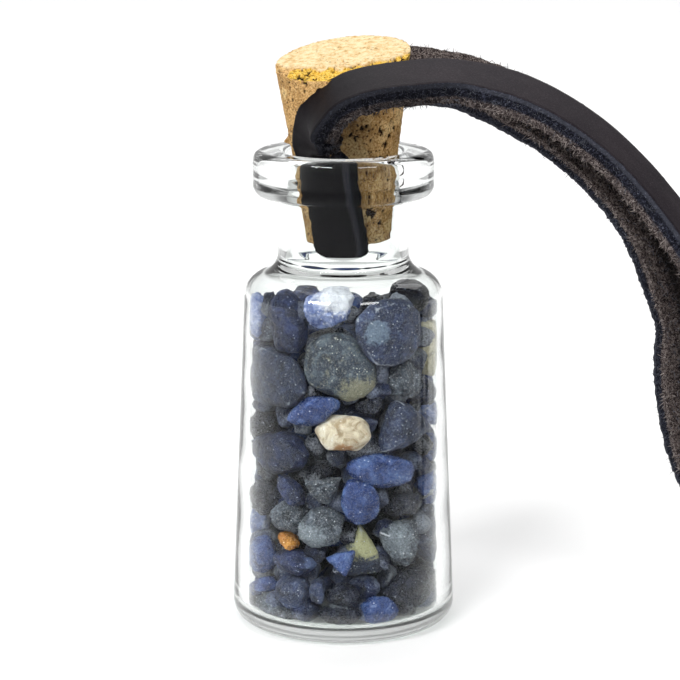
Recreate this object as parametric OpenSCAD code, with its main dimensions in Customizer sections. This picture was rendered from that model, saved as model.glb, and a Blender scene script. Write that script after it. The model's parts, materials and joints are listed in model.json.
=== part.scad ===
// Bottle pendant: a corked glass vial of stone chips on a flat leather neck strap.
// Millimetres, +Z up. The origin is the middle of the bottle's foot, on the surface that it stands on.
// The side seen in front looks towards -Y, and the strap is laid out towards +X.

/* [Bottle] */
// Height of the bottle from the surface to the top of its lip
bottle_h = 40; // [36:0.5:48]
// Diameter of the body at its widest, just above the foot
body_d = 18.8; // [18:0.2:24]
// How much narrower the body is at the shoulder than at the foot
body_taper = 2.2; // [0:0.1:2.6]
// Height of the straight side, where the shoulder starts to curve in
side_h = 27.8; // [24:0.2:29]
// Radius of the shoulder's curve
shoulder_r = 2; // [1.4:0.1:2.6]
// Radius of the rounded heel under the body
heel_r = 1.5; // [0.8:0.1:2.2]
// Thickness of the glass bottom
bottom_t = 1.2; // [1:0.1:2.4]
// Thickness of the wall beside the shoulder
wall_top = 0.35; // [0.3:0.05:0.8]
// Thickness of the wall beside the foot
wall_foot = 1.25; // [1:0.05:1.8]
// Outer diameter of the neck
neck_d = 10.9; // [10.6:0.1:12]
// Diameter of the bore that the cork plugs
bore_d = 9.4; // [9:0.1:9.8]

/* [Lip] */
// Outer diameter of the thick lip
lip_d = 15; // [13:0.2:17]
// Height of the lip
lip_h = 3.7; // [2.6:0.1:5]
// Radius of the lip's rounded outer edges
lip_round = 0.8; // [0.3:0.1:1.2]
// Radius of the rounded edge of the mouth
mouth_round = 0.7; // [0.3:0.1:0.9]

/* [Cork] */
// Diameter of the cork across its top
cork_top_d = 11.2; // [10:0.1:12]
// Diameter of the cork across its bottom
cork_end_d = 7; // [6.2:0.1:7.6]
// Length of the cork that is down in the neck
cork_in = 7.4; // [5.5:0.1:8]
// Height of the middle of the cork's top above the lip
cork_out = 7.6; // [6.5:0.1:9]
// Lean of the cork to the left, in degrees
cork_lean = 2.2; // [0:0.1:2.5]
// Slope of the cork's cut top, down to the left, in degrees
cork_slope = 7.5; // [0:0.5:10]
// Slope of the cork's cut top, down to the front, in degrees
cork_fall = 11; // [0:0.5:14]

/* [Strap] */
// Width of the leather strap
strap_w = 5; // [4:0.1:5.2]
// Thickness of the leather strap
strap_t = 2; // [1.4:0.1:2.2]
// Cut-off corner of the strap's edges
strap_edge = 0.3; // [0.1:0.05:0.4]
// Thickness of the strap where the cork squeezes it
pinched_t = 1.5; // [1.1:0.1:1.7]
// How far the strap's ends reach below the cork
strap_past = 0.8; // [0.2:0.1:1]
// Height of the arch's middle line above the lip
arch_rise = 6.1; // [5.8:0.1:8]
// Distance from the bottle's axis to where the arch has come down
arch_reach = 50; // [46:1:60]
// Length of the ring that the strap lies in beyond the arch
ring_l = 149; // [100:1:170]
// Width of that ring
ring_w = 144; // [100:1:170]

/* [Stones] */
// Usual size of a stone chip
chip = 5; // [4.6:0.1:5.4]
// Height of the filling above the glass bottom
fill_h = 27.6; // [24:0.2:27.8]
// Layers of chips behind the ones that are set by hand
fill_layers = 9; // [8:1:10]
// How high those chips reach, as a share of the filling
back_high = 0.92; // [0.88:0.01:1]

/* [Gaps] */
// Gap between neighbouring stones
stone_gap = 0.12; // [0.1:0.02:0.2]
// Gap between the filling and the glass
glass_gap = 0.1; // [0.1:0.02:0.2]
// Gap between the strap, the cork and the bore
squeeze_gap = 0.12; // [0.1:0.02:0.2]

/* [Hidden] */
$fn = 96;
body_r = body_d / 2;
top_r = body_r - body_taper / 2;
neck_r = neck_d / 2;
bore_r = bore_d / 2;
lip_r = lip_d / 2;
lip_low = bottle_h - lip_h;
inner_r = top_r - wall_top;
foot_r = body_r - wall_foot;
// Radius of the inside corner between the wall and the bottom
inner_heel = 0.5 * heel_r;
// Height where the straight inside of the wall begins, and the radius of the shoulder's inside
inside_low = bottom_t + inner_heel;
shoulder_in = shoulder_r - wall_top / 2;
cork_low = bottle_h - cork_in;
// How far the cork stands to the right of the bore's axis
cork_off = 0.15;
// Rows of the strap's route, from each end, along which it presses into the cork
pressed_rows = 11;
// How far above the lip the flats that the strap's ends press into the cork reach
flats_over = 0.9;
// How far to the side the strap passes the middle of the cork
beside = (cork_top_d + strap_w) / 2;
// Points on a rounded stretch of an outline
arc_steps = 6;

// Main stones, as they lie against the front of the glass. Lengths across, up, deep and in are shares
// of the chip size, the height is a share of the filling, and sides is the number of flat sides.
// turn: degrees round from the front, to the right.  roll: degrees, right side up.
main_stones = [
    // turn, height, across, up, deep, in, roll, sides, colour
    [-13, 0.965, 0.96, 0.66, 0.60, 0.16, 24, 6, "pale"],
    [31, 0.89, 1.32, 1.15, 0.52, 0.00, 0, 0, "slate"],
    [66, 0.97, 0.74, 0.66, 0.66, 0.16, 0, 0, "dark"],
    [80, 0.81, 0.90, 1.12, 0.48, 0.00, 4, 4, "cream"],
    [-2, 0.79, 1.30, 1.10, 0.50, 0.16, -25, 0, "olive"],
    [-20.5, 0.66, 0.98, 0.50, 0.50, 0.02, 22, 5, "blue"],
    [0, 0.597, 0.96, 0.66, 0.56, 0.00, -5, 6, "cream"],
    [-84, 0.90, 0.84, 0.80, 0.44, 0.00, 0, 0, "pale"],
    [-43, 0.915, 0.84, 1.20, 0.58, 0.04, 5, 5, "navy"],
    [-51, 0.74, 1.42, 1.10, 0.54, 0.02, -10, 6, "slate"],
    [-80, 0.575, 0.90, 0.46, 0.48, 0.06, 0, 4, "dark"],
    [-49, 0.51, 1.28, 0.78, 0.58, 0.00, 8, 6, "navy"],
    [44, 0.60, 1.22, 1.08, 0.56, 0.02, 16, 3, "slate"],
    [52, 0.728, 0.90, 0.76, 0.46, 0.16, 0, 5, "grey"],
    [21, 0.67, 0.52, 0.36, 0.48, 0.24, 10, 4, "dark"],
    [80, 0.607, 0.60, 0.48, 0.40, 0.00, 0, 5, "pale"],
    [80, 0.497, 0.66, 0.58, 0.42, 0.00, 0, 4, "blue"],
    [25, 0.473, 1.24, 0.60, 0.56, 0.00, -5, 0, "blue"],
    [10.5, 0.392, 0.62, 0.88, 0.50, 0.00, 10, 0, "blue"],
    [76, 0.39, 0.86, 0.80, 0.46, 0.00, 0, 5, "blue"],
    [-35, 0.413, 0.74, 0.34, 0.36, 0.00, -46, 4, "navy"],
    [-13, 0.423, 0.68, 0.62, 0.52, 0.08, 188, 3, "grey"],
    [-68, 0.355, 0.90, 0.62, 0.50, 0.04, 0, 5, "dark"],
    [-39.5, 0.325, 0.82, 0.62, 0.46, 0.10, 0, 5, "grey"],
    [-17, 0.303, 0.94, 0.72, 0.54, 0.04, 22, 6, "grey"],
    [-38, 0.253, 0.42, 0.21, 0.32, 0.08, -35, 5, "ochre"],
    [-68, 0.176, 0.60, 0.70, 0.46, 0.00, -8, 5, "blue"],
    [-84, 0.258, 0.56, 0.46, 0.40, 0.02, 0, 5, "pale"],
    [-35, 0.19, 0.80, 0.44, 0.50, 0.06, -8, 5, "navy"],
    [-1, 0.208, 0.55, 0.51, 0.34, 0.00, 195, 3, "blue"],
    [12, 0.21, 0.98, 1.10, 0.46, 0.24, 0, 3, "navy"],
    [41, 0.245, 0.92, 1.02, 0.56, 0.02, 184, 3, "grey"],
    [76, 0.225, 0.90, 0.98, 0.46, 0.02, 0, 5, "slate"],
    [49, 0.085, 1.50, 0.72, 0.54, 0.02, 12, 5, "dark"],
    [23, 0.048, 0.70, 0.60, 0.46, 0.00, 10, 4, "blue"],
    [-62, 0.078, 0.40, 0.38, 0.40, 0.06, 0, 5, "blue"],
    [-36, 0.095, 0.68, 0.56, 0.50, 0.02, 0, 0, "slate"],
    [-15.5, 0.11, 0.29, 0.48, 0.34, 0.00, 10, 4, "slate"],
    [-1, 0.095, 0.62, 0.42, 0.46, 0.06, 0, 5, "dark"],
    [-2, 0.04, 0.80, 0.38, 0.46, 0.00, 0, 5, "dark"],
    [-50, 0.035, 1.15, 0.42, 0.46, 0.02, -26, 5, "grey"],
    [47, 0.355, 0.76, 0.50, 0.46, 0.14, 0, 5, "dark"]];

// Middle of the strap over the front of the arch. Shares of the arch's reach and of the cork's side
// distance, then the height: above the lip it is a share of the arch's rise, and below the lip, where it
// is negative, a share of the way down to the surface. Then the way that the smooth side faces.
front_strand = [
    // along, aside, up, face x, face y, face z
    [-0.026, -0.42, 0.17, -0.52, -0.85, 0.00],
    [-0.032, -0.57, 0.32, -0.80, -0.60, 0.00],
    [-0.033, -0.68, 0.46, -0.90, -0.42, 0.10],
    [-0.024, -0.77, 0.63, -0.80, -0.32, 0.50],
    [-0.003, -0.82, 0.82, -0.50, -0.33, 0.80],
    [0.030, -0.81, 0.93, -0.20, -0.33, 0.92],
    [0.094, -0.63, 0.99, 0.00, -0.32, 0.95],
    [0.188, -0.38, 0.98, 0.08, -0.32, 0.94],
    [0.316, -0.24, 0.67, 0.42, -0.34, 0.84],
    [0.452, -0.19, -0.018, 0.62, -0.35, 0.70],
    [0.582, -0.19, -0.23, 0.76, -0.40, 0.50],
    [0.680, -0.20, -0.477, 0.76, -0.56, 0.30],
    [0.762, -0.23, -0.716, 0.60, -0.78, 0.20],
    [0.850, -0.31, -0.897, 0.30, -0.95, 0.10],
    [0.945, -0.45, -0.976, 0.10, -1.00, 0.00],
    [1.10, -0.88, -0.997, -0.50, -0.60, 0.00]];

// Middle of the strap over the back of the arch, in the same columns, from the ring to the cork.
back_strand = [
    // along, aside, up, face x, face y, face z
    [0.95, 0.97, -0.998, -0.50, 0.70, 0.00],
    [0.860, 0.47, -0.988, 0.00, 1.00, 0.00],
    [0.765, 0.32, -0.958, -0.10, 1.00, 0.00],
    [0.694, 0.26, -0.886, -0.30, 0.95, 0.00],
    [0.618, 0.24, -0.741, -0.40, 0.90, -0.10],
    [0.584, 0.24, -0.587, -0.44, 0.89, -0.05],
    [0.576, 0.24, -0.483, -0.46, 0.88, 0.00],
    [0.576, 0.24, -0.397, -0.46, 0.88, 0.00],
    [0.549, 0.24, -0.293, -0.46, 0.87, -0.12],
    [0.510, 0.25, -0.173, -0.44, 0.87, -0.22],
    [0.452, 0.26, -0.071, -0.38, 0.86, -0.34],
    [0.371, 0.29, 0.15, -0.34, 0.80, -0.48],
    [0.284, 0.32, 0.56, -0.26, 0.74, -0.62],
    [0.210, 0.38, 0.82, -0.12, 0.64, -0.76],
    [0.153, 0.48, 0.90, 0.10, 0.60, -0.78],
    [0.104, 0.60, 0.89, 0.25, 0.80, -0.50],
    [0.064, 0.72, 0.83, 0.28, 0.94, -0.18],
    [0.034, 0.75, 0.68, 0.10, 1.00, -0.10],
    [0.015, 0.68, 0.49, 0.00, 1.00, 0.00],
    [0.008, 0.55, 0.29, 0.00, 1.00, 0.00],
    [0.004, 0.44, 0.11, 0.00, 1.00, 0.00]];

// The ring on the surface, from the front strand round to the back one. Shares of the ring's length
// beyond the arch, and of half its width.
ring = [
    // along, aside
    [0.13, -0.26],
    [0.26, -0.56],
    [0.42, -0.85],
    [0.60, -0.99],
    [0.78, -0.90],
    [0.92, -0.62],
    [0.99, -0.22],
    [0.99, 0.20],
    [0.92, 0.60],
    [0.78, 0.88],
    [0.60, 0.98],
    [0.42, 0.85],
    [0.25, 0.57],
    [0.10, 0.28]];

MAIN_NODES = [for (i = [1:len(main_stones)]) str("stone_", i < 10 ? "0" : "", i)];

function unit(v) = v / norm(v);
function flat_length(p) = norm([p.x, p.y]);

// Points of an arc of radius r about [x, y] from angle a to angle b
function arc(x, y, r, a, b) =
    [for (i = [0:arc_steps]) let (t = a + (b - a) * i / arc_steps) [x + r * cos(t), y + r * sin(t)]];

// Shoulder outline from the side at radius side_r up into a tube of radius tube_r: an outward curve
// of radius r, then a hollow one that ends straight up
shoulder_end = 75;
function shoulder(side_r, tube_r, r) =
    let (
        out_x = side_r - r,
        end_x = out_x + r * cos(shoulder_end),
        end_z = side_h + r * sin(shoulder_end),
        in_r = (end_x - tube_r) / (1 - cos(shoulder_end)))
    concat(
        arc(out_x, side_h, r, 0, shoulder_end),
        arc(end_x + in_r * cos(shoulder_end), end_z + in_r * sin(shoulder_end), in_r,
            180 + shoulder_end, 180));

module bottle() {
    under_lip = 0.08 * lip_h;
    outside = concat(
        [[0, 0]],
        arc(body_r - heel_r, heel_r, heel_r, -90, 0),
        shoulder(top_r, neck_r, shoulder_r),
        [[neck_r, lip_low - under_lip], [neck_r + under_lip, lip_low]],
        arc(lip_r - lip_round, lip_low + lip_round, lip_round, -90, 0),
        arc(lip_r - lip_round, bottle_h - lip_round, lip_round, 0, 90));
    mouth = arc(bore_r + mouth_round, bottle_h - mouth_round, mouth_round, 90, 180);
    up_inside = concat(
        [[0, bottom_t]],
        arc(foot_r - inner_heel, inside_low, inner_heel, -90, 0),
        shoulder(inner_r, bore_r, shoulder_in));
    inside = [for (i = [len(up_inside) - 1:-1:0]) up_inside[i]];
    color([0.86, 0.93, 0.91, 0.35])
        rotate_extrude()
            polygon(concat(outside, mouth, inside));
}

// Distance of the pinched strap's middle from the bore's axis, its two far corners just inside the bore
pinch_r = sqrt(pow(bore_r - squeeze_gap, 2) - pow(strap_w / 2 - strap_edge, 2)) - pinched_t / 2;
strap_low = cork_low - strap_past;
// How far round the bore the front end turns on its way up, in degrees
pinch_turn = 20;

// Rows of the strap's route: place, the way the smooth side faces, and thickness
function pinched_row(turn, share) =
    let (out = [-sin(turn), -cos(turn), 0])
    [out * pinch_r + [0, 0, strap_low + share * (bottle_h - strap_low)], out, pinched_t];
function arch_z(up) = up > 0 ? bottle_h + up * arch_rise : bottle_h + up * (bottle_h - strap_w / 2);
function arch_row(p, thick) =
    [[p[0] * arch_reach, p[1] * beside, arch_z(p[2])], [p[3], p[4], p[5]], thick];
function ring_row(p) =
    [[arch_reach + p[0] * ring_l, p[1] * ring_w / 2, strap_w / 2],
     [p[0] - 0.5, p[1] / 2, 0], strap_t];
n_front = len(front_strand) - 1;
n_back = len(back_strand) - 1;
route = concat(
    [for (share = [0, 0.35, 0.7, 0.94]) pinched_row(pinch_turn * share, share)],
    [for (i = [0:n_front]) arch_row(front_strand[i], i == 0 ? (strap_t + pinched_t) / 2 : strap_t)],
    [for (p = ring) ring_row(p)],
    [for (i = [0:n_back]) arch_row(back_strand[i], i == n_back ? (strap_t + pinched_t) / 2 : strap_t)],
    [for (share = [0.94, 0.7, 0.35, 0]) pinched_row(180, share)]);

// Longest stretch of the strap between two of its sections
stretch_l = 9;
last = len(route) - 1;

// Place and slope on the smooth curve through the rows, u from 0 to 1 between rows i and i + 1
function along(i, u) =
    let (
        p1 = route[i][0], p2 = route[i + 1][0],
        p0 = i > 0 ? route[i - 1][0] : 2 * p1 - p2,
        p3 = i < last - 1 ? route[i + 2][0] : 2 * p2 - p1)
    0.5 * (2 * p1 + (p2 - p0) * u + (2 * p0 - 5 * p1 + 4 * p2 - p3) * u * u
        + (3 * p1 - p0 - 3 * p2 + p3) * u * u * u);
function slope(i, u) = unit(along(i, u + 0.01) - along(i, u - 0.01));

// One section: its eight corners, for half a width and half a thickness, each grown by more
corners_n = 8;
function section(i, u, more) =
    let (
        t = slope(i, u),
        face = route[i][1] * (1 - u) + route[i + 1][1] * u,
        w = unit(cross(t, face)),
        n = cross(w, t),
        a = strap_w / 2 + more,
        b = (route[i][2] * (1 - u) + route[i + 1][2] * u) / 2 + more,
        c = strap_edge)
    [for (q = [[a - c, b], [a, b - c], [a, c - b], [a - c, -b],
               [c - a, -b], [-a, c - b], [-a, b - c], [c - a, b]])
        along(i, u) + q[0] * w + q[1] * n];

// The strap between two rows of its route, grown by more on every side
module strap_between(from, to, more = 0) {
    sections = concat(
        [for (i = [from:to - 1])
            let (steps = ceil(norm(route[i + 1][0] - route[i][0]) / stretch_l))
            for (k = [0:steps - 1]) section(i, k / steps, more)],
        [section(to - 1, 1, more)]);
    count = len(sections);
    corners = [for (s = sections) for (p = s) p];
    c = corners_n;
    sides = [for (k = [0:count - 2]) for (j = [0:c - 1])
        let (a = c * k + j, b = c * k + (j + 1) % c)
        each [[a, b + c, b], [a, a + c, b + c]]];
    start = [[for (j = [0:c - 1]) j]];
    end = [[for (j = [c - 1:-1:0]) c * (count - 1) + j]];
    polyhedron(corners, concat(start, sides, end));
}

module strap() {
    color("#26242b") strap_between(0, last);
}

// The flat that the strap's end presses into the cork, turn degrees round from the front
module pressed_flat(turn, high) {
    depth = bore_d;
    flat_w = strap_w + 2 * squeeze_gap;
    rotate([0, 0, -turn])
        translate([-flat_w / 2, -(pinch_r - pinched_t / 2 - squeeze_gap) - depth, strap_low])
            cube([flat_w, depth, high]);
}

module cork() {
    in_mouth_d = bore_d - 2 * (squeeze_gap + cork_off);
    spare = cork_top_d / 5;
    flats_h = cork_in + strap_past + flats_over;
    color("#c99a63")
        difference() {
            translate([cork_off, 0, bottle_h])
                rotate([0, -cork_lean, 0]) {
                    translate([0, 0, -cork_in])
                        cylinder(h = cork_in, d1 = cork_end_d, d2 = in_mouth_d);
                    cylinder(h = cork_out + spare, d1 = in_mouth_d,
                        d2 = cork_top_d + spare * (cork_top_d - in_mouth_d) / cork_out);
                }
            translate([0, 0, bottle_h + cork_out])
                rotate([cork_fall, -cork_slope, 0])
                    translate([-cork_top_d, -cork_top_d, 0])
                        cube([2 * cork_top_d, 2 * cork_top_d, cork_top_d]);
            pressed_flat(0.5 * pinch_turn, flats_h);
            pressed_flat(180, flats_h);
            strap_between(0, pressed_rows, squeeze_gap);
            strap_between(last - pressed_rows, last, squeeze_gap);
        }
}

// Colours of the stones
function stone_colour(name) =
    name == "pale" ? "#8d9cc4"
    : name == "slate" ? "#4d5668"
    : name == "dark" ? "#2b2d36"
    : name == "cream" ? "#d9cdb4"
    : name == "olive" ? "#6f7468"
    : name == "blue" ? "#46588f"
    : name == "navy" ? "#2d3760"
    : name == "ochre" ? "#b9803a"
    : "#6a7078";

// Chips behind the main ones: a half ring against the back of the glass and a core, in layers
back_turns = [104, 142, 180, 218, 256];
core_turns = [0, 90, 180, 270];
in_layer = len(back_turns) + len(core_turns);
strays = 8;
stray = rands(-1, 1, fill_layers * in_layer * strays, 41);
function fill_chip(layer, k) =
    let (
        core = k >= len(back_turns),
        r = [for (m = [0:strays - 1]) stray[(layer * in_layer + k) * strays + m]],
        turn = core ? core_turns[k - len(back_turns)] + 37 * layer : back_turns[k] + 12 * (layer % 2) - 6)
    [turn + 5 * r[0], back_high * (layer + (core ? 0.75 : 0.42) + 0.12 * r[1]) / fill_layers,
        1.14 + 0.12 * r[2], 0.94 + 0.12 * r[3], 0.8 + 0.06 * r[4],
        (core ? 0.62 : 0) + 0.02 * abs(r[5]), 60 * r[6],
        round(4.5 + 1.4 * r[7]), "slate"];
fill_chips = [for (layer = [0:fill_layers - 1]) for (k = [0:in_layer - 1])
    if (k < len(back_turns) || layer < fill_layers - 1) fill_chip(layer, k)];
all_stones = concat(main_stones, fill_chips);

// Radius of the room for the chips at height z
function room_r(z) =
    foot_r - glass_gap + (inner_r - foot_r) * max(0, z - inside_low) / (side_h - inside_low);
// How much of its size a chip lies flat against the glass
lie_flat = 0.07;

// Place and half axes of a stone: middle, then across, up and outward, then the three half sizes
function seat(s) =
    let (
        out = [sin(s[0]), -cos(s[0]), 0],
        side = [cos(s[0]), sin(s[0]), 0],
        z = bottom_t + s[1] * fill_h,
        r = room_r(z) - (s[4] / 2 + s[5] - lie_flat) * chip)
    [out * r + [0, 0, z],
     side * cos(s[6]) + [0, 0, sin(s[6])],
     [0, 0, cos(s[6])] - side * sin(s[6]),
     out, s[2] * chip / 2, s[3] * chip / 2, s[4] * chip / 2];
seats = [for (s = all_stones) seat(s)];

// How far a stone's own rounded form reaches in direction n
function spread(q, n) = norm([q[4] * (n * q[1]), q[5] * (n * q[2]), q[6] * (n * q[3])]);

// The plane that parts two stones, as its normal and its distance from the first one's middle
function parting(a, b) =
    let (
        d = b[0] - a[0],
        m = a[0] + b[0],
        out = flat_length(m) > 0.1 * chip ? unit([m.x, m.y, 0]) : unit([d.x, d.y, 0.001]),
        side = [-out.y, out.x, 0],
        weigh = function(e) (d * e) / pow(spread(a, e) + spread(b, e), 2),
        n = unit(weigh(out) * out + weigh(side) * side + weigh([0, 0, 1]) * [0, 0, 1]),
        near = spread(a, n), far = spread(b, n))
    [n, (n * d) * near / (near + far) - stone_gap / 2];

// True where the glass leaves room for a point of a stone: above the bottom, inside the wall, and clear
// of the rounded corners at the heel and the shoulder
function in_corner(r, up, corner_r) = up < 0 || norm([max(0, r), up]) < corner_r - glass_gap;
function has_room(p) =
    let (r = flat_length(p))
    p.z > bottom_t + glass_gap && r < room_r(p.z)
    && in_corner(r - foot_r + inner_heel, inside_low - p.z, inner_heel)
    && in_corner(r - inner_r + shoulder_in, p.z - side_h, shoulder_in);
function roomy(p, d, ok, bad, turns) =
    turns == 0 ? ok : let (mid = (ok + bad) / 2)
        has_room(p + mid * d) ? roomy(p, d, mid, bad, turns - 1) : roomy(p, d, ok, mid, turns - 1);

// Flat facets of a chip in its own round scale: its flat sides, then a few rough ones
side_cut = [0, 0, 0, 0.54, 0.74, 0.82, 0.87];
rough_facets = 7;
function facets(index, sides) =
    let (r = rands(-1, 1, 3 * rough_facets, 7 + index))
    concat(
        sides < 3 ? [] : [for (k = [0:sides - 1])
            let (t = -90 + 360 * k / sides) [[cos(t), sin(t), 0.18 * r[k]], side_cut[sides]]],
        [for (k = [0:rough_facets - 1])
            [unit([r[3 * k], r[3 * k + 1], 1.3 * r[3 * k + 2]]), 0.86 + 0.08 * r[3 * k]]]);

// Rings of corners round each chip: more of them on the main stones
main_rings = [-60, -30, 0, 30, 60];
fill_rings = [-45, 0, 45];

module chip_stone(index) {
    main = index < len(main_stones);
    rings = main ? main_rings : fill_rings;
    around = main ? 12 : 8;
    q = seats[index];
    sides = all_stones[index][7];
    boxy = sides < 3 ? 2.3 : 5;
    cuts = facets(index, sides);
    near = [for (k = [0:len(seats) - 1])
        if (k != index && norm(seats[k][0] - q[0]) < 1.8 * chip) parting(q, seats[k])];
    rays = concat(
        [[0, 0, -1]],
        [for (b = rings) for (k = [0:around - 1])
            let (a = 360 * k / around) [cos(b) * cos(a), cos(b) * sin(a), sin(b)]],
        [[0, 0, 1]]);
    points = [for (e = rays)
        let (
            d = e.x * q[4] * q[1] + e.y * q[5] * q[2] + e.z * q[6] * q[3],
            own = pow(pow(abs(e.x), boxy) + pow(abs(e.y), boxy) + pow(abs(e.z), 2.6), -1 / boxy),
            flats = [for (f = cuts) if (f[0] * e > 0.05) f[1] / (f[0] * e)],
            planes = [for (p = near) if (p[0] * d > 0.01) p[1] / (p[0] * d)],
            far = min(concat([own], flats, planes)))
        q[0] + d * (has_room(q[0] + far * d) ? far : roomy(q[0], d, 0, far, 10))];
    n = len(points);
    bottom = [for (k = [0:around - 1]) [0, 1 + k, 1 + (k + 1) % around]];
    top = [for (k = [0:around - 1])
        [n - 1, n - 1 - around + (k + 1) % around, n - 1 - around + k]];
    walls = [for (m = [0:len(rings) - 2]) for (k = [0:around - 1])
        let (a = 1 + m * around + k, b = 1 + m * around + (k + 1) % around)
        each [[a, a + around, b + around], [a, b + around, b]]];
    color(stone_colour(all_stones[index][8])) polyhedron(points, concat(bottom, walls, top));
}

module stone_fill() {
    for (i = [len(main_stones):len(all_stones) - 1]) chip_stone(i);
}

bottle();
cork();
strap();
stone_fill();
for (i = [0:len(main_stones) - 1])
    chip_stone(i);
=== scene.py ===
"""Looks of a bottle pendant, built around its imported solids. Metres, +Z up, the front looks towards -Y."""

import json
import math
import random

import bmesh
import bpy
import numpy as np
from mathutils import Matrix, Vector, noise


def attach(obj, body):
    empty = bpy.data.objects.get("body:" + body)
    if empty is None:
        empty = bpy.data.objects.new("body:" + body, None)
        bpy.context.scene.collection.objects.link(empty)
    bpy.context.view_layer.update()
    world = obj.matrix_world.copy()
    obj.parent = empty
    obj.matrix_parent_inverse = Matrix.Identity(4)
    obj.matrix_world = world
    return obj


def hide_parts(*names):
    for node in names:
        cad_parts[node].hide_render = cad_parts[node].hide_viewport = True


MM = 0.001

# Camera, as fitted to the photo's lip, sides and foot
CAMERA_AT = Vector((-0.289, -207.935, 69.741)) * MM
CAMERA_DOWN = math.radians(12.43)
LENS_MM = 134.37
SENSOR_MM = 36.0

# Bottle
BOTTLE_H = 40.0 * MM
BODY_R = 9.4 * MM
TOP_R = 8.3 * MM
SIDE_H = 27.8 * MM
SHOULDER_R = 2.0 * MM
SHOULDER_END = 75
HEEL_R = 1.5 * MM
BOTTOM_T = 1.2 * MM
WALL_TOP = 0.35 * MM
WALL_FOOT = 1.25 * MM
NECK_R = 5.45 * MM
BORE_R = 4.7 * MM
LIP_R = 7.5 * MM
LIP_H = 3.7 * MM
LIP_ROUND = 0.8 * MM
MOUTH_ROUND = 0.7 * MM

# Cork
CORK_TOP_R = 5.6 * MM
CORK_MOUTH_R = 4.43 * MM
CORK_END_R = 3.5 * MM
CORK_IN = 7.4 * MM
CORK_OUT = 7.6 * MM
CORK_OFF = 0.15 * MM
CORK_LEAN = math.radians(2.2)
CORK_SLOPE = math.radians(7.5)
CORK_FALL = math.radians(11)

# Strap
STRAP_W = 5.0 * MM
STRAP_T = 2.0 * MM
PINCHED_T = 1.5 * MM
STRAP_EDGE = 0.3 * MM
SQUEEZE_GAP = 0.12 * MM
STRAP_LOW = 31.8 * MM
PINCH_TURN = 20
ARCH_RISE = 6.1 * MM
ARCH_REACH = 50 * MM
BESIDE = 8.1 * MM
RING_L = 149 * MM
RING_W = 144 * MM

# The strap's route, in the same shares as its solid, and turned a little more where it leaves the rim
FRONT_STRAND = [
    # along, aside, up, face x, face y, face z
    (-0.047, -0.43, 0.08, -0.80, -0.60, 0.00),
    (-0.047, -0.47, 0.26, -0.80, -0.60, 0.00),
    (-0.043, -0.56, 0.46, -0.84, -0.50, 0.15),
    (-0.026, -0.74, 0.65, -0.80, -0.34, 0.50),
    (-0.003, -0.82, 0.82, -0.50, -0.33, 0.80),
    (0.030, -0.81, 0.93, -0.20, -0.33, 0.92),
    (0.094, -0.63, 0.99, 0.00, -0.32, 0.95),
    (0.188, -0.38, 0.98, 0.08, -0.32, 0.94),
    (0.316, -0.24, 0.67, 0.42, -0.34, 0.84),
    (0.452, -0.19, -0.018, 0.62, -0.35, 0.70),
    (0.582, -0.19, -0.23, 0.76, -0.40, 0.50),
    (0.680, -0.20, -0.477, 0.76, -0.56, 0.30),
    (0.762, -0.23, -0.716, 0.60, -0.78, 0.20),
    (0.850, -0.31, -0.897, 0.30, -0.95, 0.10),
    (0.945, -0.45, -0.976, 0.10, -1.00, 0.00),
    (1.10, -0.88, -0.997, -0.50, -0.60, 0.00),
]
BACK_STRAND = [
    # along, aside, up, face x, face y, face z
    (0.95, 0.97, -0.998, -0.50, 0.70, 0.00),
    (0.860, 0.47, -0.988, 0.00, 1.00, 0.00),
    (0.765, 0.32, -0.958, -0.10, 1.00, 0.00),
    (0.694, 0.26, -0.886, -0.30, 0.95, 0.00),
    (0.618, 0.24, -0.741, -0.40, 0.90, -0.10),
    (0.584, 0.24, -0.587, -0.44, 0.89, -0.05),
    (0.576, 0.24, -0.483, -0.46, 0.88, 0.00),
    (0.576, 0.24, -0.397, -0.46, 0.88, 0.00),
    (0.549, 0.24, -0.293, -0.46, 0.87, -0.12),
    (0.510, 0.25, -0.173, -0.44, 0.87, -0.22),
    (0.452, 0.26, -0.071, -0.38, 0.86, -0.34),
    (0.371, 0.29, 0.15, -0.34, 0.80, -0.48),
    (0.284, 0.32, 0.56, -0.26, 0.74, -0.62),
    (0.210, 0.38, 0.82, -0.12, 0.64, -0.76),
    (0.153, 0.48, 0.90, 0.10, 0.60, -0.78),
    (0.104, 0.60, 0.89, 0.25, 0.80, -0.50),
    (0.064, 0.72, 0.83, 0.28, 0.94, -0.18),
    (0.034, 0.75, 0.68, 0.10, 1.00, -0.10),
    (0.015, 0.68, 0.49, 0.00, 1.00, 0.00),
    (0.008, 0.55, 0.29, 0.00, 1.00, 0.00),
    (0.004, 0.44, 0.11, 0.00, 1.00, 0.00),
]
RING = [
    # along, aside
    (0.13, -0.26), (0.26, -0.56), (0.42, -0.85), (0.60, -0.99), (0.78, -0.90), (0.92, -0.62), (0.99, -0.22),
    (0.99, 0.20), (0.92, 0.60), (0.78, 0.88), (0.60, 0.98), (0.42, 0.85), (0.25, 0.57), (0.10, 0.28),
]

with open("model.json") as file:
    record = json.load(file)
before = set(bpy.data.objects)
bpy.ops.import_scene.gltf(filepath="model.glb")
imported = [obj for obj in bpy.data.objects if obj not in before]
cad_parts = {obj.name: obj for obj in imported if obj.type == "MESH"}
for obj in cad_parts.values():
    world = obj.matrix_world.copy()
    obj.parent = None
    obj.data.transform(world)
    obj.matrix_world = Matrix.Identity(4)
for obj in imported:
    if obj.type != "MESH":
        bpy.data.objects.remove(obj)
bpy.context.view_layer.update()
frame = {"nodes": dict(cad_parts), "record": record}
NODES = frame["nodes"]
SLOTS = {p["node"]: p["material_slot"] for p in frame["record"]["subparts"]}


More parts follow.
